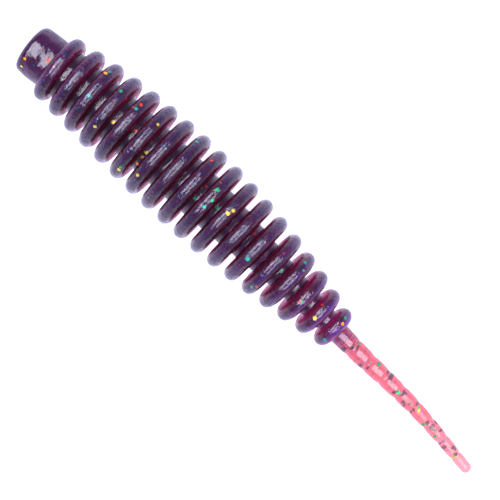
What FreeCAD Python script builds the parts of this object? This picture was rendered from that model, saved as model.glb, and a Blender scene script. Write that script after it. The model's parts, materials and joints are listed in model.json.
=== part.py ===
"""A ringed soft plastic worm with a thin pin tail, in millimetres.

The worm is a soft moulding: a short cylindrical nose, a row of round-rimmed rings on a core that
narrows towards the tail, and a tapered pin tail of a second, lighter plastic whose root is fused
into the last ring. It flexes only where it is thin, so it is divided there: every ring is one
solid and every stretch of core between two rings is a neck that bends. The tail is divided the
same way at its faint grooves, into segments joined by short webs.

The origin is the centre of the nose's flat end face. +X runs along the nose towards the tail, and
+Z is up. The centre line curves gently towards -Y, and droops a little towards the tail.
"""

import FreeCAD, Part
import math
import os

# Nose.
NOSE_RADIUS = 2.7
NOSE_EDGE_RADIUS = 0.45

# Rings: discs with fully rounded rims, evenly spaced along the centre line.
RING_COUNT = 18
FIRST_RING = 3.85
RING_PITCH = 2.21
RING_THICKNESS = 1.6
FRONT_RING_RADIUS = 3.72
WIDEST_RING_RADIUS = 4.8
REAR_RING_RADIUS = 2.36
WIDEST_PLACE = 0.43
RING_SWELL_POWER = 2

# Core: full width at the head, narrowing between these two places on the centre line.
REAR_CORE_RADIUS = 1.2
CORE_TAPER_START = 18.0
CORE_TAPER_END = 43.0
NECK_FILLET = 0.18
FILLET_SINK = 0.04

# Tail: equal segments that taper evenly, joined by webs that are slightly thinner.
TAIL_SEGMENTS = 9
TAIL_LENGTH = 19.75
TAIL_ROOT_RADIUS = 1.13
TAIL_TIP_RADIUS = 0.57
WEB_LENGTH = 0.36
WEB_INSET = 0.06
SEGMENT_SHOULDER = 0.12
PLUG_RADIUS = 0.9
PLUG_DEPTH = 1.1

# Turns of the centre line in degrees, each with the stretch that it is spread over.
HEAD_BEND = (-4.5, 0.0, 15.0)
BODY_BEND = (-3.5, 10.0, 42.0)
TAIL_STRAIGHTENING = (2.0, 42.0, 47.0)
TAIL_BEND = (-6.3, 49.0, 58.0)
REAR_DROOP = (-6.5, 28.0, 39.0)

STEP_LENGTH = 0.05
OVERRUN = 0.3

ORIGIN = FreeCAD.Vector(0, 0, 0)
X_AXIS = FreeCAD.Vector(1, 0, 0)

LAST_RING = FIRST_RING + (RING_COUNT - 1) * RING_PITCH
TAIL_START = LAST_RING + RING_THICKNESS / 2
SEGMENT_PITCH = TAIL_LENGTH / TAIL_SEGMENTS


def ease(start, end, place):
    """0 before start and 1 after end, with a smooth rise between them."""
    fraction = min(1.0, max(0.0, (place - start) / (end - start)))
    return fraction * fraction * (3 - 2 * fraction)


def turned(place, *bends):
    """The sum in radians of the bends that the centre line has made by this place."""
    return math.radians(sum(angle * ease(start, end, place) for angle, start, end in bends))


def direction(place):
    """The centre line's direction at a distance along it from the nose face."""
    sideways = turned(place, HEAD_BEND, BODY_BEND, TAIL_STRAIGHTENING, TAIL_BEND)
    upward = turned(place, REAR_DROOP)
    return FreeCAD.Vector(
        math.cos(upward) * math.cos(sideways),
        math.cos(upward) * math.sin(sideways),
        math.sin(upward),
    )


def centre(place):
    """The centre line's point at a distance along it from the nose face."""
    steps = max(1, round(place / STEP_LENGTH))
    length = place / steps
    point = FreeCAD.Vector(0, 0, 0)
    for step in range(steps):
        point += direction((step + 0.5) * length) * length
    return point


def ring_place(index):
    """Where ring number index, counted from 1 at the head, sits on the centre line."""
    return FIRST_RING + (index - 1) * RING_PITCH


def neck_place(index):
    """The middle of the neck behind ring number index."""
    return ring_place(index) + RING_PITCH / 2


def web_place(index):
    """The middle of the web behind tail segment number index, counted from 1 at the root."""
    return TAIL_START + index * SEGMENT_PITCH


def ring_radius(index):
    """The outer radius: widest a little ahead of the middle, smaller towards both ends."""
    along = (index - 1) / (RING_COUNT - 1)
    if along < WIDEST_PLACE:
        end_radius = FRONT_RING_RADIUS
        away = (WIDEST_PLACE - along) / WIDEST_PLACE
    else:
        end_radius = REAR_RING_RADIUS
        away = (along - WIDEST_PLACE) / (1 - WIDEST_PLACE)
    return WIDEST_RING_RADIUS - (WIDEST_RING_RADIUS - end_radius) * away**RING_SWELL_POWER


def core_radius(place):
    taper = ease(CORE_TAPER_START, CORE_TAPER_END, place)
    return NOSE_RADIUS - (NOSE_RADIUS - REAR_CORE_RADIUS) * taper


def tail_radius(place):
    fraction = (place - TAIL_START) / TAIL_LENGTH
    return TAIL_ROOT_RADIUS - (TAIL_ROOT_RADIUS - TAIL_TIP_RADIUS) * fraction


def point(along, out):
    return FreeCAD.Vector(along, out, 0)


def line(start, end):
    return Part.makeLine(start, end)


def arc(start, middle, end):
    return Part.Arc(start, middle, end).toShape()


def quarter_arc(start, end, middle_of_circle):
    """The quarter circle between two points that are square to each other about its middle."""
    radius = (start - middle_of_circle).Length
    halfway = (start + end) * 0.5 - middle_of_circle
    return arc(start, middle_of_circle + halfway.normalize() * radius, end)


def spin(edges):
    """The solid that a closed outline on the +Y side sweeps around the X axis."""
    return Part.Face(Part.Wire(edges)).revolve(ORIGIN, X_AXIS, 360)


def placed(shape, place):
    """The shape moved from the origin to a place on the centre line, facing along it."""
    moved = shape.copy()
    moved.Placement = FreeCAD.Placement(centre(place), FreeCAD.Rotation(X_AXIS, direction(place)))
    return moved


def nose():
    """A short cylinder with a flat end face and a softened edge, up to the first ring's face."""
    length = FIRST_RING - RING_THICKNESS / 2
    face_edge = point(0, NOSE_RADIUS - NOSE_EDGE_RADIUS)
    side_start = point(NOSE_EDGE_RADIUS, NOSE_RADIUS)
    side_end = point(length + OVERRUN, NOSE_RADIUS)
    axis_end = point(length + OVERRUN, 0)
    edge_middle = point(NOSE_EDGE_RADIUS, NOSE_RADIUS - NOSE_EDGE_RADIUS)
    solid = spin([
        line(ORIGIN, face_edge),
        quarter_arc(face_edge, side_start, edge_middle),
        line(side_start, side_end),
        line(side_end, axis_end),
        line(axis_end, ORIGIN),
    ])
    return solid.cut(ring(1))


def ring(index):
    """A disc with a fully rounded rim. The last one has a blind pocket that holds the tail."""
    half = RING_THICKNESS / 2
    radius = ring_radius(index)
    front_axis = point(-half, 0)
    front_edge = point(-half, radius - half)
    rear_edge = point(half, radius - half)
    rear_axis = point(half, 0)
    disc = spin([
        line(front_axis, front_edge),
        arc(front_edge, point(0, radius), rear_edge),
        line(rear_edge, rear_axis),
        line(rear_axis, front_axis),
    ])
    if index == RING_COUNT:
        disc = disc.cut(Part.makeCylinder(PLUG_RADIUS, PLUG_DEPTH, point(half - PLUG_DEPTH, 0), X_AXIS))
    return placed(disc, ring_place(index))


def neck(index):
    """The core between two rings. Its small end fillets run a little way into the rings' faces,
    where they are trimmed, because neighbouring faces aren't quite parallel on a curved worm."""
    radius = core_radius(neck_place(index))
    reach = (RING_PITCH - RING_THICKNESS) / 2 + FILLET_SINK
    flare = radius + NECK_FILLET
    bottom_front = point(NECK_FILLET - reach, radius)
    bottom_rear = point(reach - NECK_FILLET, radius)
    top_front = point(-reach, flare)
    top_rear = point(reach, flare)
    outer_front = point(-reach - OVERRUN, flare)
    outer_rear = point(reach + OVERRUN, flare)
    axis_front = point(-reach - OVERRUN, 0)
    axis_rear = point(reach + OVERRUN, 0)
    solid = spin([
        line(axis_front, outer_front),
        line(outer_front, top_front),
        quarter_arc(top_front, bottom_front, point(NECK_FILLET - reach, flare)),
        line(bottom_front, bottom_rear),
        quarter_arc(bottom_rear, top_rear, point(reach - NECK_FILLET, flare)),
        line(top_rear, outer_rear),
        line(outer_rear, axis_rear),
        line(axis_rear, axis_front),
    ])
    return placed(solid, neck_place(index)).cut(ring(index)).cut(ring(index + 1))


def tail_segment(index):
    """A tapered stretch of the tail with softened shoulders. The last one has a rounded tip."""
    start = web_place(index - 1) + (WEB_LENGTH / 2 if index > 1 else 0)
    end = web_place(index) - (WEB_LENGTH / 2 if index < TAIL_SEGMENTS else 0)
    half = (end - start) / 2
    front_radius = tail_radius(start)
    rear_radius = tail_radius(end)
    rounding = rear_radius if index == TAIL_SEGMENTS else SEGMENT_SHOULDER
    front_axis = point(-half, 0)
    front_low = point(-half, front_radius - SEGMENT_SHOULDER)
    front_high = point(SEGMENT_SHOULDER - half, front_radius)
    rear_high = point(half - rounding, rear_radius)
    rear_low = point(half, rear_radius - rounding)
    rear_axis = point(half, 0)
    edges = [
        line(front_axis, front_low),
        quarter_arc(front_low, front_high, point(SEGMENT_SHOULDER - half, front_radius - SEGMENT_SHOULDER)),
        line(front_high, rear_high),
        quarter_arc(rear_high, rear_low, point(half - rounding, rear_radius - rounding)),
    ]
    if index < TAIL_SEGMENTS:
        edges.append(line(rear_low, rear_axis))
    edges.append(line(rear_axis, front_axis))
    return placed(spin(edges), (start + end) / 2)


def tail_root():
    """The first tail segment, with the plug that is fused into the last ring's pocket."""
    half = RING_THICKNESS / 2
    plug = Part.makeCylinder(PLUG_RADIUS, PLUG_DEPTH + OVERRUN, point(half - PLUG_DEPTH, 0), X_AXIS)
    plug = placed(plug, LAST_RING)
    return tail_segment(1).cut(ring(RING_COUNT)).fuse(plug).removeSplitter()


def tail_web(index):
    """The short thinner stretch that bends between two tail segments."""
    length = WEB_LENGTH + 2 * OVERRUN
    radius = tail_radius(web_place(index)) - WEB_INSET
    solid = Part.makeCylinder(radius, length, point(-length / 2, 0), X_AXIS)
    ahead = tail_root() if index == 1 else tail_segment(index)
    return placed(solid, web_place(index)).cut(ahead).cut(tail_segment(index + 1))


def parts():
    """Every sub-part's name and solid, from the nose to the tip of the tail."""
    named = {"nose": nose()}
    for index in range(1, RING_COUNT + 1):
        named[f"ring_{index:02d}"] = ring(index)
    for index in range(1, RING_COUNT):
        named[f"neck_{index:02d}"] = neck(index)
    named["tail_root"] = tail_root()
    for index in range(2, TAIL_SEGMENTS + 1):
        named[f"tail_segment_{index}"] = tail_segment(index)
    for index in range(1, TAIL_SEGMENTS):
        named[f"tail_web_{index}"] = tail_web(index)
    return named


os.makedirs("parts", exist_ok=True)
for name, shape in parts().items():
    solid = shape.Solids[0]
    solid.exportStep(f"parts/{name}.step")
    print(name, "solids", len(shape.Solids), "valid", solid.isValid(), "volume", round(solid.Volume, 3))
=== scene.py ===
"""The looks of a ringed soft plastic worm: dark violet jelly with foil glitter and a coral pin tail.

Lengths are in metres in the row frame. Every piece is turned on a lathe around the centre line,
which is a smooth curve through the joints' pivots, and takes its radii from the CAD nodes.
"""

import json
import math
import random

import bpy
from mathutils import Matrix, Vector, noise


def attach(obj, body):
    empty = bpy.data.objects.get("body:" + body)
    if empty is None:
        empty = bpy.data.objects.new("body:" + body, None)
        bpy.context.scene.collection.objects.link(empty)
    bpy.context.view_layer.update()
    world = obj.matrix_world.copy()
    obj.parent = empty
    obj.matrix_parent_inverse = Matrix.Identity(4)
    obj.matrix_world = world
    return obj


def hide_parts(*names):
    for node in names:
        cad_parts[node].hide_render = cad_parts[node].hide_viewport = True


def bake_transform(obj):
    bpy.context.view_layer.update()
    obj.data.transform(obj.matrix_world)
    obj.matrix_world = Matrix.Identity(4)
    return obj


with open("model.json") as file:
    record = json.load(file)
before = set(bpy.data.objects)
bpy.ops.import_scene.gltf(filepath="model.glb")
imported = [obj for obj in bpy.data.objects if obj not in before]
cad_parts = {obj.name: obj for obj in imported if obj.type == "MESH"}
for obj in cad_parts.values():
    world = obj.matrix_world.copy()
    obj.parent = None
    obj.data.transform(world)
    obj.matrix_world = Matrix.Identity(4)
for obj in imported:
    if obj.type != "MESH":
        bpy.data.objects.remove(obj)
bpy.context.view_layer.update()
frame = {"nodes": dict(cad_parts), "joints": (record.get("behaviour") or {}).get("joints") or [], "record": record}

MM = 0.001
FULL_TURN = 2 * math.pi

# Mesh fineness.
AROUND_RING = 192
AROUND_NECK = 96
AROUND_TAIL = 64
RIM_STEPS = 14
FLANK_STEPS = 4
FILLET_STEPS = 5
NECK_STEPS = 3
NOSE_EDGE_STEPS = 8
NOSE_BODY_STEPS = 20
TAIL_STATION_LENGTH = 0.1 * MM
TAIL_DOME_STEPS = 8

# Neighbouring pieces meet face to face across this gap, so that no two faces coincide.
INTERFACE_GAP = 0.002 * MM

# The nose: the rounding of its face's edge, and how much it narrows towards the face.
NOSE_EDGE = 0.6 * MM
NOSE_NARROWING = 0.15 * MM
NOSE_NARROW_LENGTH = 1.8 * MM

# The shallow grooves of the tail.
GROOVE_DEPTH = 0.09 * MM
GROOVE_WIDTH = 0.3 * MM

# Small unevenness of a soft moulding, and each surface's share of it.
WOBBLE_HEIGHT = 0.02 * MM
WOBBLE_SIZE = 0.75 * MM
NECK_WOBBLE = 0.3
TAIL_WOBBLE = 0.3
NOSE_FACE_WOBBLE = 0.3
NOSE_EDGE_WOBBLE = 1.5
NOSE_WOBBLE = 2.5

# The shading of a band of a lathed piece.
SMOOTH, FLAT = True, False

# The tint attribute of the pieces that have one value all over.
NECK_TINT = 0.35
NOSE_TINT = 0.5

# Painted shade and painted reflection: the violet of the rear rings leans to their tail side, as painted
# reflection of the lighter surroundings seen over the smaller ring behind. Their nose side is left maroon, as
# painted shade from the larger ring ahead. The lean rises from 0 at this ring, counted from 0, to this share of
# half the thickness at the last ring.
FIRST_PAINTED_SHADE_RING = 10
REAR_PAINTED_SHADE_LEAN = 0.6

# Glitter sizes, and how many flakes or dust specks there are.
FLAKE_ACROSS = 0.36 * MM
FLAKE_THICKNESS = 0.02 * MM
DUST_ACROSS = 0.13 * MM
RING_FLAKES_PER_MM_OF_RADIUS = 3.2
RING_DUST_PER_MM_OF_RADIUS = 45
NECK_FLAKES_PER_MM_OF_RADIUS = 1.5
NECK_DUST_PER_MM_OF_RADIUS = 10
NOSE_FLAKES = 12
NOSE_DUST = 180
FLAKES_PER_TAIL_SPAN = 3
# The end of the tail that has no flakes but those of ON_TAIL.
CLEAR_TIP = 2.2 * MM

# The joints let the worm curl down to 30 mm below its nose, and the floor is clear of that.
FLOOR_HEIGHT = -36 * MM
FLOOR_WIDTH = 6.0
FLOOR_GLOW = (0.70, 0.71, 1.0)
FLOOR_GLOW_STRENGTH = 1.9

# Two softboxes overhead, in metres.
SOFTBOX_HEIGHT = 0.30
SOFTBOX_LENGTH = 0.15
SOFTBOX_WIDTH = 0.36
SOFTBOX_GAP = 0.12
SOFTBOX_MIDDLE = 0.03
SOFTBOX_COLOUR = (0.95, 0.96, 1.1)
NOSE_SIDE_RADIANCE = 11.0
TAIL_SIDE_RADIANCE = 8.0

# The studio's own light, by height: 0 is the horizon and 1 is overhead.
STUDIO_LIGHT = [(0.0, (1.5, 1.53, 2.1)), (0.2, (0.6, 0.6, 1.0)), (0.45, (0.38, 0.38, 0.7))]

# The camera looks straight down, turned so that the worm lies from the upper left to the lower right.
CAMERA_HEIGHT = 170 * MM
CAMERA_PLACE = (29.9 * MM, -2.6 * MM)
CAMERA_ROLL = math.radians(37.8)
VIEW_WIDTH = 50 * MM

RINGS = [f"ring_{index:02d}" for index in range(1, 19)]
NECKS = [f"neck_{index:02d}" for index in range(1, 18)]
TAIL_SEGMENTS = ["tail_root"] + [f"tail_segment_{index}" for index in range(2, 10)]
TAIL_WEBS = [f"tail_web_{index}" for index in range(1, 9)]

BODY_OF = {node: body for body, nodes in frame["record"]["behaviour"]["bodies"].items() for node in nodes}

chance = random.Random(7)


# The centre line.

def hermite(start, end, start_slope, end_slope, span, fraction):
    """The point and the direction of a cubic between two knots."""
    f = fraction
    point = (
        start * (2 * f**3 - 3 * f**2 + 1)
        + start_slope * (span * (f**3 - 2 * f**2 + f))
        + end * (3 * f**2 - 2 * f**3)
        + end_slope * (span * (f**3 - f**2))
    )
    slope = (
        (end - start) * (6 * f * (1 - f) / span)
        + start_slope * (3 * f**2 - 4 * f + 1)
        + end_slope * (3 * f**2 - 2 * f)
    )
    return point, slope.normalized()


class CentreLine:
    """A smooth curve from the nose face through the pivots to the tip of the tail. A place on it is
    the distance from the nose face, along the straight lines between the knots."""

    def __init__(self, knots):
        self.knots = knots
        self.places = [0.0]
        for here, there in zip(knots, knots[1:]):
            self.places.append(self.places[-1] + (there - here).length)
        self.slopes = [Vector((1, 0, 0))]
        for k in range(1, len(knots) - 1):
            self.slopes.append((knots[k + 1] - knots[k - 1]) / (self.places[k + 1] - self.places[k - 1]))
        self.slopes.append((knots[-1] - knots[-2]).normalized())

    def at(self, place):
        """The point and the direction at a place."""
        k = 0
        while k < len(self.knots) - 2 and place > self.places[k + 1]:
            k += 1
        span = self.places[k + 1] - self.places[k]
        fraction = (place - self.places[k]) / span
        return hermite(self.knots[k], self.knots[k + 1], self.slopes[k], self.slopes[k + 1], span, fraction)


def reach(node, centre, direction):
    """A CAD node's lowest and highest place along an axis, and its least and greatest distance from it."""
    along = []
    out = []
    for vertex in frame["nodes"][node].data.vertices:
        offset = vertex.co - centre
        along.append(offset.dot(direction))
        out.append((offset - direction * along[-1]).length)
    return min(along), max(along), min(out), max(out)


def square_to(direction):
    """The directions sideways and up that are square to a direction."""
    side = direction.cross(Vector((0, 0, 1))).normalized()
    return side, side.cross(direction)


pivots = [Vector(joint["pos_m"]) for joint in frame["joints"]]
last_direction = (pivots[-1] - pivots[-2]).normalized()
tip_distance = reach(TAIL_SEGMENTS[-1], pivots[-1], last_direction)[1]
line = CentreLine([Vector((0, 0, 0))] + pivots + [pivots[-1] + last_direction * tip_distance])
neck_places = line.places[1:18]
web_places = line.places[18:26]
tip_place = line.places[-1]
pitch = (neck_places[-1] - neck_places[0]) / (len(neck_places) - 1)
ring_places = [neck_places[0] - pitch / 2] + [place + pitch / 2 for place in neck_places]
ring_half = reach(RINGS[8], *line.at(ring_places[8]))[1]
ring_radii = [reach(ring, *line.at(place))[3] for ring, place in zip(RINGS, ring_places)]
neck_radii = [reach(neck, *line.at(place))[2] for neck, place in zip(NECKS, neck_places)]
flare_radii = [reach(neck, *line.at(place))[3] for neck, place in zip(NECKS, neck_places)]
nose_radius = reach("nose", Vector((0, 0, 0)), Vector((1, 0, 0)))[3]
nose_end = ring_places[0] - ring_half
tail_start = ring_places[-1] + ring_half
tail_places = [tail_start] + web_places
tail_middles = [(here + there) / 2 for here, there in zip(tail_places, tail_places[1:])]
tail_length = tip_place - tail_start
tail_radii = [reach(segment, *line.at(place))[3] for segment, place in zip(TAIL_SEGMENTS[1:], web_places)]


def tail_radius(place):
    """An even taper through the CAD segments' radii, with a shallow groove at each web."""
    slope = (tail_radii[-1] - tail_radii[0]) / (web_places[-1] - web_places[0])
    plain = tail_radii[0] + slope * (place - web_places[0])
    nearest = min(abs(place - web) for web in web_places)
    return plain - GROOVE_DEPTH * math.exp(-((nearest / GROOVE_WIDTH) ** 2))


# Meshes.

def wobble(point, amount):
    return amount * WOBBLE_HEIGHT * noise.noise(point / WOBBLE_SIZE)


def shown(name, mesh):
    piece = bpy.data.objects.new(name, mesh)
    bpy.context.scene.collection.objects.link(piece)
    return piece


def lathe(name, stations, around):
    """A closed mesh from stations (centre, direction, radius, wobble, shading of the band that follows).
    The first and last radius are 0."""
    vertices = []
    loops = []
    for centre, direction, radius, unevenness, _ in stations:
        if radius == 0:
            loops.append([len(vertices)])
            vertices.append(centre)
            continue
        side, up = square_to(direction)
        loop = []
        for step in range(around):
            angle = FULL_TURN * step / around
            outward = side * math.cos(angle) + up * math.sin(angle)
            point = centre + outward * radius
            loop.append(len(vertices))
            vertices.append(point + outward * wobble(point, unevenness))
        loops.append(loop)
    faces = []
    smooth = []
    for k in range(len(loops) - 1):
        here, there = loops[k], loops[k + 1]
        for step in range(around):
            after = (step + 1) % around
            if len(here) == 1:
                faces.append((here[0], there[step], there[after]))
            elif len(there) == 1:
                faces.append((here[step], there[0], here[after]))
            else:
                faces.append((here[step], there[step], there[after], here[after]))
            smooth.append(stations[k][4])
    mesh = bpy.data.meshes.new(name)
    mesh.from_pydata(vertices, [], faces)
    mesh.polygons.foreach_set("use_smooth", smooth)
    mesh.update()
    sharp = {key for polygon in mesh.polygons if not polygon.use_smooth for key in polygon.edge_keys}
    for edge in mesh.edges:
        edge.use_edge_sharp = edge.key in sharp
    return shown(name, mesh)


def share(piece, values):
    """Stores one number per vertex, which the materials read as the attribute tint."""
    attribute = piece.data.attributes.new("tint", "FLOAT", "POINT")
    attribute.data.foreach_set("value", values)


def painted_shade_lean_of(index):
    """How far a ring's violet leans to its tail side, as a share of half its thickness: painted reflection on the
    tail side and painted shade on the nose side.
    """
    return REAR_PAINTED_SHADE_LEAN * max(0.0, index - FIRST_PAINTED_SHADE_RING) / (len(RINGS) - 1 - FIRST_PAINTED_SHADE_RING)


def paint_by_reach(piece, centre, direction, lean):
    """tint rises from 0 on the flat faces to 1 at the crest of the rim, or lean nearer to the tail. On the rear
    rings the lean paints shade on the nose side and reflection on the tail side.
    """
    values = []
    for vertex in piece.data.vertices:
        along = (vertex.co - centre).dot(direction) / ring_half
        width_of_side = 1 + lean if along < lean else 1 - lean
        values.append(1 - min(1.0, abs(along - lean) / width_of_side) ** 2)
    share(piece, values)


def make_ring(index):
    """A disc with a rounded rim. Where a core stretch meets it, its faces are an interface."""
    centre, direction = line.at(ring_places[index])
    radius = ring_radii[index]
    front_core = flare_radii[index - 1] if index > 0 else nose_radius
    rear_core = flare_radii[index] if index < len(flare_radii) else tail_radius(tail_start)
    half = ring_half
    rim_middle = radius - half
    stations = []

    def add(along, out, unevenness, shading):
        stations.append((centre + direction * along, direction, out, unevenness, shading))

    add(-half, 0, 0, FLAT)
    add(-half, front_core, 0, SMOOTH)
    for step in range(1, FLANK_STEPS):
        add(-half, front_core + (rim_middle - front_core) * step / FLANK_STEPS, 0, SMOOTH)
    for step in range(RIM_STEPS + 1):
        angle = math.pi * step / RIM_STEPS
        add(-half * math.cos(angle), rim_middle + half * math.sin(angle), math.sin(angle), SMOOTH)
    for step in range(FLANK_STEPS - 1, 0, -1):
        add(half, rear_core + (rim_middle - rear_core) * step / FLANK_STEPS, 0, SMOOTH)
    add(half, rear_core, 0, FLAT)
    add(half, 0, 0, FLAT)
    piece = lathe(f"jelly_{RINGS[index]}", stations, AROUND_RING)
    # The lean paints shade on a rear ring's nose side and reflection on its tail side.
    paint_by_reach(piece, centre, direction, painted_shade_lean_of(index))
    return piece


def make_neck(index):
    """A stretch of core between two flat interfaces, with fillets where it meets the rings."""
    start = ring_places[index] + ring_half + INTERFACE_GAP
    end = ring_places[index + 1] - ring_half - INTERFACE_GAP
    radius = neck_radii[index]
    fillet = flare_radii[index] - radius
    stations = []

    def add(place, out, unevenness, shading):
        stations.append((*line.at(place), out, unevenness, shading))

    def add_fillet(side, step, shading):
        """side is 1 at the start and -1 at the end."""
        angle = math.pi / 2 * step / FILLET_STEPS
        place = (start if side == 1 else end) + side * fillet * (1 - math.cos(angle))
        add(place, radius + fillet * (1 - math.sin(angle)), 0, shading)

    add(start, 0, 0, FLAT)
    for step in range(FILLET_STEPS):
        add_fillet(1, step, SMOOTH)
    for step in range(NECK_STEPS + 1):
        place = start + fillet + (end - start - 2 * fillet) * step / NECK_STEPS
        add(place, radius, NECK_WOBBLE, SMOOTH)
    for step in range(FILLET_STEPS - 1, 0, -1):
        add_fillet(-1, step, SMOOTH)
    add_fillet(-1, 0, FLAT)
    add(end, 0, 0, FLAT)
    piece = lathe(f"jelly_{NECKS[index]}", stations, AROUND_NECK)
    share(piece, [NECK_TINT] * len(piece.data.vertices))
    return piece


def make_nose():
    """A short cylinder: flat end face, rounded edge, and an interface at the first ring."""
    end = nose_end - INTERFACE_GAP
    stations = []

    def add(place, out, unevenness, shading):
        narrowing = NOSE_NARROWING * max(0.0, 1 - place / NOSE_NARROW_LENGTH) ** 2
        stations.append((*line.at(place), out - min(out, narrowing), unevenness, shading))

    add(0, 0, 0, SMOOTH)
    add(0, (nose_radius - NOSE_EDGE) / 2, NOSE_FACE_WOBBLE, SMOOTH)
    for step in range(NOSE_EDGE_STEPS + 1):
        angle = math.pi / 2 * step / NOSE_EDGE_STEPS
        place = NOSE_EDGE * (1 - math.cos(angle))
        out = nose_radius - NOSE_EDGE * (1 - math.sin(angle))
        add(place, out, NOSE_EDGE_WOBBLE * math.sin(angle), SMOOTH)
    for step in range(1, NOSE_BODY_STEPS):
        add(NOSE_EDGE + (end - NOSE_EDGE) * step / NOSE_BODY_STEPS, nose_radius, NOSE_WOBBLE, SMOOTH)
    add(end, nose_radius, 0, FLAT)
    add(end, 0, 0, FLAT)
    piece = lathe("jelly_nose", stations, AROUND_RING)
    share(piece, [NOSE_TINT] * len(piece.data.vertices))
    return piece


def make_tail(name, start, end, tip=False):
    """A stretch of the tail between two flat interfaces. The tip has a dome in place of the second."""
    steps = max(2, round((end - start) / TAIL_STATION_LENGTH))
    run_end = end - tail_radius(end) if tip else end
    stations = []

    def add(place, out, unevenness, shading):
        stations.append((*line.at(place), out, unevenness, shading))

    add(start, 0, 0, FLAT)
    for step in range(steps + 1):
        place = start + (run_end - start) * step / steps
        shading = SMOOTH if tip or step < steps else FLAT
        add(place, tail_radius(place), TAIL_WOBBLE, shading)
    if tip:
        for step in range(1, TAIL_DOME_STEPS):
            angle = math.pi / 2 * step / TAIL_DOME_STEPS
            place = run_end + (end - run_end) * math.sin(angle)
            add(place, tail_radius(run_end) * math.cos(angle), TAIL_WOBBLE, SMOOTH)
    add(end, 0, 0, SMOOTH if tip else FLAT)
    piece = lathe(name, stations, AROUND_TAIL)
    root = line.at(tail_start)[0]
    share(piece, [(vertex.co - root).length / tail_length for vertex in piece.data.vertices])
    return piece


# Materials.

def new_material(name):
    """A material, its node tree and its shader."""
    material = bpy.data.materials.new(name)
    material.use_nodes = True
    return material, material.node_tree, material.node_tree.nodes["Principled BSDF"]


def set_inputs(node, **values):
    for key, value in values.items():
        node.inputs[key.replace("_", " ")].default_value = value


def absorb(tree, colour, per_metre):
    volume = tree.nodes.new("ShaderNodeVolumeAbsorption")
    volume.inputs["Color"].default_value = (*colour, 1)
    volume.inputs["Density"].default_value = per_metre
    tree.links.new(volume.outputs["Volume"], tree.nodes["Material Output"].inputs["Volume"])


def noise_texture(tree, size, detail):
    """Noise whose features are about size metres across."""
    place = tree.nodes.new("ShaderNodeTexCoord")
    texture = tree.nodes.new("ShaderNodeTexNoise")
    set_inputs(texture, Scale=1 / size, Detail=detail, Roughness=0.55)
    tree.links.new(place.outputs["Object"], texture.inputs["Vector"])
    return texture.outputs["Fac"]


def ramp(tree, source, stops):
    node = tree.nodes.new("ShaderNodeValToRGB")
    for element, (position, colour) in zip(node.color_ramp.elements, (stops[0], stops[-1])):
        element.position = position
        element.color = (*colour, 1)
    for position, colour in stops[1:-1]:
        node.color_ramp.elements.new(position).color = (*colour, 1)
    tree.links.new(source, node.inputs["Fac"])
    return node.outputs["Color"]


def grey_ramp(tree, source, stops):
    return ramp(tree, source, [(place, (value, value, value)) for place, value in stops])


def bump(tree, shader, source, height):
    node = tree.nodes.new("ShaderNodeBump")
    set_inputs(node, Distance=height, Strength=1.0)
    tree.links.new(source, node.inputs["Height"])
    tree.links.new(node.outputs["Normal"], shader.inputs["Normal"])


def scaled(tree, source, factor, offset):
    """source times factor plus offset."""
    node = tree.nodes.new("ShaderNodeMath")
    node.operation = "MULTIPLY_ADD"
    tree.links.new(source, node.inputs[0])
    node.inputs[1].default_value = factor
    node.inputs[2].default_value = offset
    return node.outputs["Value"]


def added(tree, one, other):
    node = tree.nodes.new("ShaderNodeMath")
    tree.links.new(one, node.inputs[0])
    tree.links.new(other, node.inputs[1])
    return node.outputs["Value"]


def jelly(name, stops, gloss, cloudiness, absorbing, per_metre, transmission, grain_size, grain):
    """Glossy translucent plastic. Its colour runs along stops, and its roughness along gloss, by the
    tint attribute. Clouds and fine speckle shift the colour along its stops by about cloudiness / 4.
    The grain is a fine unevenness of the skin."""
    cloud_size = 0.9 * MM
    speckle_size = 0.2 * MM
    material, tree, shader = new_material(name)
    attribute = tree.nodes.new("ShaderNodeAttribute")
    attribute.attribute_name = "tint"
    tint = attribute.outputs["Fac"]
    clouds = scaled(tree, noise_texture(tree, cloud_size, 3.0), cloudiness, -cloudiness / 2)
    speckle = scaled(tree, noise_texture(tree, speckle_size, 1.0), 2 * cloudiness, -cloudiness)
    colour = ramp(tree, added(tree, tint, added(tree, clouds, speckle)), stops)
    tree.links.new(colour, shader.inputs["Base Color"])
    tree.links.new(grey_ramp(tree, tint, gloss), shader.inputs["Roughness"])
    set_inputs(shader, IOR=1.5, Transmission_Weight=transmission)
    bump(tree, shader, noise_texture(tree, grain_size, 2.5), grain)
    absorb(tree, absorbing, per_metre)
    return material


def foil(name, colour):
    material, _, shader = new_material(f"foil_{name}")
    set_inputs(shader, Base_Color=(*colour, 1), Metallic=0.5, Roughness=0.4)
    return material


CORE_GLOSS = [(0.0, 0.14), (1.0, 0.14)]
rim_jelly = jelly(
    "violet_rim",
    stops=[(0.0, (0.85, 0.10, 0.20)), (0.6, (0.80, 0.14, 0.26)), (1.0, (0.30, 0.30, 0.85))],
    gloss=[(0.0, 0.40), (0.15, 0.22), (0.45, 0.08)],
    cloudiness=1.2, absorbing=(0.54, 0.08, 0.44), per_metre=600, transmission=0.985,
    grain_size=0.27 * MM, grain=0.055 * MM,
)
core_jelly = jelly(
    "violet_core",
    stops=[(0.0, (0.60, 0.10, 0.30)), (1.0, (0.30, 0.20, 0.70))],
    gloss=CORE_GLOSS,
    cloudiness=1.2, absorbing=(0.46, 0.10, 0.36), per_metre=1300, transmission=0.985,
    grain_size=0.3 * MM, grain=0.02 * MM,
)
nose_jelly = jelly(
    "violet_nose",
    stops=[(0.0, (0.60, 0.08, 0.25)), (1.0, (0.25, 0.20, 0.80))],
    gloss=CORE_GLOSS,
    cloudiness=1.4, absorbing=(0.54, 0.10, 0.42), per_metre=1100, transmission=0.985,
    grain_size=0.3 * MM, grain=0.03 * MM,
)
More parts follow.
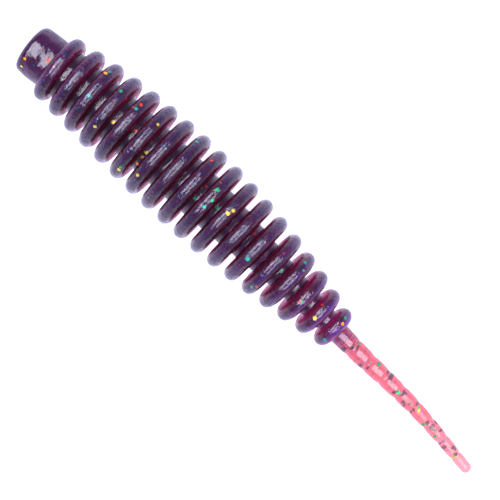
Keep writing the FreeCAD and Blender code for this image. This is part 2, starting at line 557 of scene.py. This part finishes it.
coral = jelly(
    "coral_jelly",
    stops=[
        (0.0, (0.10, 0.07, 0.25)), (0.06, (0.22, 0.10, 0.28)), (0.1, (0.66, 0.29, 0.34)),
        (0.3, (0.80, 0.34, 0.37)), (0.6, (0.95, 0.36, 0.37)), (1.0, (1.0, 0.60, 0.56)),
    ],
    gloss=[(0.0, 0.08), (0.35, 0.10), (0.5, 0.30)],
    cloudiness=0.1, absorbing=(0.885, 0.36, 0.335), per_metre=1200, transmission=0.88,
    grain_size=0.3 * MM, grain=0.003 * MM,
)
FOIL_COLOURS = {
    "green": (0.01, 0.33, 0.10),
    "teal": (0.01, 0.26, 0.18),
    "gold": (0.52, 0.42, 0.04),
    "orange": (0.95, 0.33, 0.01),
    "red": (0.60, 0.05, 0.01),
    "dark": (0.02, 0.015, 0.05),
    "maroon": (0.16, 0.01, 0.05),
    "blue": (0.06, 0.05, 0.36),
    "lilac": (0.40, 0.38, 0.70),
}
FOILS = {kind: foil(kind, colour) for kind, colour in FOIL_COLOURS.items()}


def dress(piece, skin):
    piece.data.materials.append(skin)


# Glitter. The lists of kinds give a colour a larger share by naming it more often.

BODY_FOILS = ["green", "green", "gold", "orange", "red", "teal", "teal", "teal", "maroon", "maroon", "dark"]
BODY_DUST = ["maroon", "maroon", "blue", "blue", "blue", "lilac", "dark"]
TAIL_FOILS = ["green", "teal", "teal", "dark", "dark", "dark", "gold", "blue"]

# The flakes that catch the light, as (millimetres to the side, colour), by ring and by neck.
BRIGHT_ON_RING = {
    3: [(-2.9, "green"), (-2.6, "orange"), (0.2, "teal")],
    4: [(-2.2, "green"), (2.1, "gold")],
    5: [(-2.5, "red"), (-1.9, "teal")],
    6: [(-2.2, "gold"), (3.4, "green"), (3.7, "gold")],
    7: [(2.8, "gold")],
    8: [(-3.6, "teal")],
    9: [(-3.2, "red")],
    10: [(-1.5, "green"), (-0.4, "green"), (0.6, "teal")],
    11: [(-1.1, "gold"), (-0.5, "orange")],
    13: [(1.3, "teal")],
    14: [(3.0, "green"), (-1.6, "maroon")],
    15: [(-2.5, "teal"), (-1.8, "green")],
    16: [(0.6, "red"), (0.5, "teal")],
    17: [(0.7, "gold")],
    18: [(-0.9, "orange"), (-1.5, "green"), (1.5, "green")],
}
BRIGHT_ON_NECK = {
    4: [(0.5, "gold")],
    5: [(-0.3, "red")],
    6: [(0.6, "gold"), (1.2, "gold"), (2.0, "orange")],
    9: [(-1.0, "red"), (0.65, "green")],
    10: [(-0.25, "green"), (-1.9, "green")],
    12: [(-0.95, "red")],
    14: [(-0.2, "green")],
}
# As (millimetres from the nose's face or the tail's root, millimetres to the side, colour).
BRIGHT_ON_NOSE = [(0.8, 1.3, "orange"), (0.9, 2.1, "gold"), (2.7, 0.0, "red")]
ON_TAIL = [
    (0.9, 0.0, "blue"), (2.2, -0.7, "green"), (2.7, 0.0, "lilac"), (3.9, 0.2, "lilac"), (5.1, -0.6, "green"),
    (5.6, 0.2, "lilac"), (7.0, -0.3, "dark"), (7.3, -0.1, "blue"), (8.5, 0.1, "green"), (8.8, 0.1, "teal"),
    (9.2, -0.3, "blue"), (9.7, 0.4, "teal"), (10.0, 0.2, "green"), (11.0, 0.2, "dark"), (11.0, 0.5, "teal"),
    (11.2, -0.3, "green"), (11.4, -0.1, "gold"), (12.8, 0.5, "green"), (13.0, 0.1, "teal"),
    (13.6, -0.5, "dark"), (13.6, 0.1, "teal"), (14.2, 0.0, "teal"), (14.3, 0.1, "dark"), (14.5, 0.4, "green"),
    (15.5, 0.0, "blue"), (16.9, -0.3, "teal"), (17.5, 0.2, "gold"),
]
# On the tail these lie in the skin, and the others a little below it.
SKIN_KINDS = ("green", "gold")
BELOW_SKIN = 0.2 * MM


def facing(normal, spread):
    """A direction near the normal, astray by about spread."""
    astray = Vector([chance.gauss(0, 1) for _ in range(3)]).normalized()
    return normal + astray * spread


class Glitter:
    """Flakes gathered into one mesh."""

    def __init__(self):
        self.vertices = []
        self.faces = []
        self.kinds = []

    def flake(self, centre, normal, kind, across=FLAKE_ACROSS, sides=6):
        """Adds a thin prism whose ends are a little irregular, as cut foil is."""
        normal = normal.normalized()
        side = normal.orthogonal().normalized()
        other = normal.cross(side)
        turn = chance.uniform(0, FULL_TURN)
        corners_out = [across * chance.uniform(0.42, 0.64) for _ in range(sides)]
        first = len(self.vertices)
        for lift in (-0.5, 0.5):
            for corner, out in enumerate(corners_out):
                angle = turn + FULL_TURN / sides * corner
                outward = side * math.cos(angle) + other * math.sin(angle)
                self.vertices.append(centre + outward * out + normal * (lift * FLAKE_THICKNESS))
        self.faces.append(tuple(first + corner for corner in reversed(range(sides))))
        self.faces.append(tuple(first + sides + corner for corner in range(sides)))
        for corner in range(sides):
            after = (corner + 1) % sides
            self.faces.append((first + corner, first + after, first + sides + after, first + sides + corner))
        self.kinds += [kind] * (sides + 2)

    def add_foil(self, spot, normal):
        """A flake of any colour under the skin."""
        direction = facing(normal, 0.35)
        self.flake(spot, direction, chance.choice(BODY_FOILS), chance.uniform(0.6, 1) * FLAKE_ACROSS)

    def add_dust(self, spot, normal):
        """A four-sided speck under the skin."""
        direction = facing(normal, 0.8)
        self.flake(spot, direction, chance.choice(BODY_DUST), chance.uniform(0.6, 1.2) * DUST_ACROSS, 4)

    def add_bright(self, spot, normal, kind):
        """A flake that lies in the skin."""
        direction = facing(normal, 0.12)
        self.flake(spot, direction, kind, chance.uniform(0.8, 1.15) * FLAKE_ACROSS, chance.choice((5, 6)))

    def piece(self, name, slot):
        mesh = bpy.data.meshes.new(name)
        mesh.from_pydata(self.vertices, [], self.faces)
        used = sorted(set(self.kinds))
        for kind in used:
            mesh.materials.append(FOILS[kind])
        mesh.polygons.foreach_set("material_index", [used.index(kind) for kind in self.kinds])
        mesh.update()
        piece = shown(name, mesh)
        return piece


def rim_spot(index, clock, lean, depth):
    """A spot under the rim of a ring: clock is the angle round the worm, 90 degrees at the top,
    and lean the angle across the rim. Returns the spot and the skin's normal."""
    centre, direction = line.at(ring_places[index])
    side, up = square_to(direction)
    outward = side * math.cos(clock) + up * math.sin(clock)
    normal = outward * math.cos(lean) + direction * math.sin(lean)
    return centre + outward * (ring_radii[index] - ring_half) + normal * (ring_half - depth), normal


def core_spot(place, radius, clock, depth):
    """A spot under the skin of the nose, a neck or the tail, and the skin's normal."""
    centre, direction = line.at(place)
    side, up = square_to(direction)
    outward = side * math.cos(clock) + up * math.sin(clock)
    return centre + outward * (radius - depth), outward


def clock_of(offset, radius):
    """The clock angle, on the upper side, of a spot that lies offset to the side of the centre line."""
    return math.acos(max(-0.98, min(0.98, offset / radius)))


def random_rim_spot(index, steepest, depths):
    """steepest is the largest lean in degrees, and depths a range in millimetres."""
    clock = chance.uniform(0, FULL_TURN)
    lean = math.radians(chance.uniform(-steepest, steepest))
    return rim_spot(index, clock, lean, chance.uniform(*depths) * MM)


def random_core_spot(first_place, last_place, radius, depths):
    place = chance.uniform(first_place, last_place)
    clock = chance.uniform(0, FULL_TURN)
    return core_spot(place, radius, clock, chance.uniform(*depths) * MM)


def ring_glitter(index):
    glitter = Glitter()
    radius = ring_radii[index]
    for _ in range(round(radius / MM * RING_FLAKES_PER_MM_OF_RADIUS)):
        glitter.add_foil(*random_rim_spot(index, 80, (0.12, 0.3)))
    for _ in range(round(radius / MM * RING_DUST_PER_MM_OF_RADIUS)):
        glitter.add_dust(*random_rim_spot(index, 85, (0.09, 0.5)))
    for offset, kind in BRIGHT_ON_RING.get(index + 1, []):
        lean = math.radians(chance.uniform(-25, 25))
        glitter.add_bright(*rim_spot(index, clock_of(offset * MM, radius), lean, 0), kind)
    return glitter


def neck_glitter(index):
    glitter = Glitter()
    radius = neck_radii[index]
    middle = neck_places[index]
    for _ in range(round(radius / MM * NECK_DUST_PER_MM_OF_RADIUS)):
        glitter.add_dust(*random_core_spot(middle - 0.2 * MM, middle + 0.2 * MM, radius, (0.1, 0.3)))
    for _ in range(round(radius / MM * NECK_FLAKES_PER_MM_OF_RADIUS)):
        spot, normal = random_core_spot(middle - 0.15 * MM, middle + 0.15 * MM, radius, (0.15, 0.3))
        glitter.flake(spot, facing(normal, 0.3), chance.choice(BODY_FOILS), 0.8 * FLAKE_ACROSS)
    for offset, kind in BRIGHT_ON_NECK.get(index + 1, []):
        glitter.add_bright(*core_spot(middle, radius, clock_of(offset * MM, radius), 0), kind)
    return glitter


def nose_glitter():
    glitter = Glitter()
    for _ in range(NOSE_FLAKES):
        glitter.add_foil(*random_core_spot(0.7 * MM, nose_end, nose_radius, (0.12, 0.3)))
    for _ in range(NOSE_DUST):
        glitter.add_dust(*random_core_spot(0.6 * MM, nose_end, nose_radius, (0.12, 0.5)))
    for place, offset, kind in BRIGHT_ON_NOSE:
        glitter.add_bright(*core_spot(place * MM, nose_radius, clock_of(offset * MM, nose_radius), 0), kind)
    return glitter


def tail_glitter(start, end):
    """Flakes of any colour low in the tail, and those of ON_TAIL at its upper side."""
    glitter = Glitter()
    for _ in range(FLAKES_PER_TAIL_SPAN):
        place = chance.uniform(start + 0.2 * MM, min(end - 0.25 * MM, tip_place - CLEAR_TIP))
        out = math.sqrt(chance.uniform(0, 1)) * (tail_radius(place) - 0.25 * MM)
        spot, _ = core_spot(place, out, chance.uniform(math.pi, FULL_TURN), 0)
        facing_up = facing(Vector((0, 0, 1)), 0.5)
        glitter.flake(spot, facing_up, chance.choice(TAIL_FOILS), chance.uniform(0.8, 1.1) * FLAKE_ACROSS)
    for along, offset, kind in ON_TAIL:
        place = tail_start + along * MM
        if start + 0.2 * MM <= place < end:
            radius = tail_radius(place) - (0 if kind in SKIN_KINDS else BELOW_SKIN)
            spot, normal = core_spot(min(place, end - 0.22 * MM), radius, clock_of(offset * MM, radius), 0)
            glitter.flake(spot, facing(normal, 0.12), kind, chance.uniform(1.0, 1.25) * FLAKE_ACROSS)
    return glitter


# The pieces.

nose = make_nose()
dress(nose, nose_jelly)
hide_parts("nose")
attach(nose, BODY_OF["nose"])
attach(nose_glitter().piece("glitter_nose", "body_plastic"), BODY_OF["nose"])

for index, node in enumerate(RINGS):
    ring = make_ring(index)
    dress(ring, rim_jelly)
    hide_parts(node)
    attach(ring, BODY_OF[node])
    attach(ring_glitter(index).piece(f"glitter_{node}", "body_plastic"), BODY_OF[node])

for index, node in enumerate(NECKS):
    neck = make_neck(index)
    dress(neck, core_jelly)
    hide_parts(node)
    start = line.at(ring_places[index] + ring_half)[0]
    end = line.at(ring_places[index + 1] - ring_half)[0]
    flakes = neck_glitter(index).piece(f"glitter_{node}", "body_plastic")
    for piece in (neck, flakes):
        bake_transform(piece)

tail_base = make_tail("tail_base", tail_start + INTERFACE_GAP, tail_middles[0] - INTERFACE_GAP)
dress(tail_base, coral)
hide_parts("tail_root")
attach(tail_base, BODY_OF["tail_root"])
for index, web in enumerate(TAIL_WEBS):
    last = index == len(TAIL_WEBS) - 1
    start = tail_middles[index]
    end = tip_place if last else tail_middles[index + 1]
    span = make_tail(f"tail_span_{index + 1}", start, end if last else end - INTERFACE_GAP, tip=last)
    dress(span, coral)
    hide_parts(web, TAIL_SEGMENTS[index + 1])
    flakes = tail_glitter(start, end).piece(f"glitter_tail_span_{index + 1}", "tail_plastic")
    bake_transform(span)
    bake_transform(flakes)


# Stage, light and camera.

def make_floor():
    half = FLOOR_WIDTH / 2
    places = [(-half, -half), (half, -half), (half, half), (-half, half)]
    mesh = bpy.data.meshes.new("floor")
    mesh.from_pydata([(x, y, FLOOR_HEIGHT) for x, y in places], [], [(0, 1, 2, 3)])
    floor = shown("floor", mesh)
    material, _, shader = new_material("pale_floor")
    set_inputs(shader, Base_Color=(0.06, 0.06, 0.06, 1), Roughness=0.9, Specular_IOR_Level=0.1)
    set_inputs(shader, Emission_Color=(*FLOOR_GLOW, 1), Emission_Strength=FLOOR_GLOW_STRENGTH)
    mesh.materials.append(material)


def make_world():
    world = bpy.data.worlds.new("studio")
    bpy.context.scene.world = world
    world.use_nodes = True
    tree = world.node_tree
    place = tree.nodes.new("ShaderNodeTexCoord")
    height = tree.nodes.new("ShaderNodeSeparateXYZ")
    tree.links.new(place.outputs["Generated"], height.inputs["Vector"])
    sweep = ramp(tree, height.outputs["Z"], STUDIO_LIGHT)
    tree.links.new(sweep, tree.nodes["Background"].inputs["Color"])


def make_softbox(name, sign, radiance):
    """An area light overhead, on the nose side (sign -1) or tail side (1) of the gap for the camera."""
    light = bpy.data.lights.new(name, "AREA")
    light.shape = "RECTANGLE"
    light.size = SOFTBOX_LENGTH
    light.size_y = SOFTBOX_WIDTH
    light.energy = radiance * math.pi * SOFTBOX_LENGTH * SOFTBOX_WIDTH
    light.color = SOFTBOX_COLOUR
    lamp = bpy.data.objects.new(name, light)
    lamp.location = (SOFTBOX_MIDDLE + sign * (SOFTBOX_GAP + SOFTBOX_LENGTH) / 2, 0.0, SOFTBOX_HEIGHT)
    bpy.context.scene.collection.objects.link(lamp)


def make_camera():
    camera = bpy.data.cameras.new("camera")
    camera.lens = camera.sensor_width * CAMERA_HEIGHT / VIEW_WIDTH
    camera.clip_start = 0.01
    camera.clip_end = 10
    holder = bpy.data.objects.new("camera", camera)
    holder.location = (*CAMERA_PLACE, CAMERA_HEIGHT)
    holder.rotation_euler = (0, 0, CAMERA_ROLL)
    bpy.context.scene.collection.objects.link(holder)
    bpy.context.scene.camera = holder


make_floor()
make_world()
make_softbox("softbox_nose_side", -1, NOSE_SIDE_RADIANCE)
make_softbox("softbox_tail_side", 1, TAIL_SIDE_RADIANCE)
make_camera()
bpy.context.scene.view_settings.view_transform = "Standard"
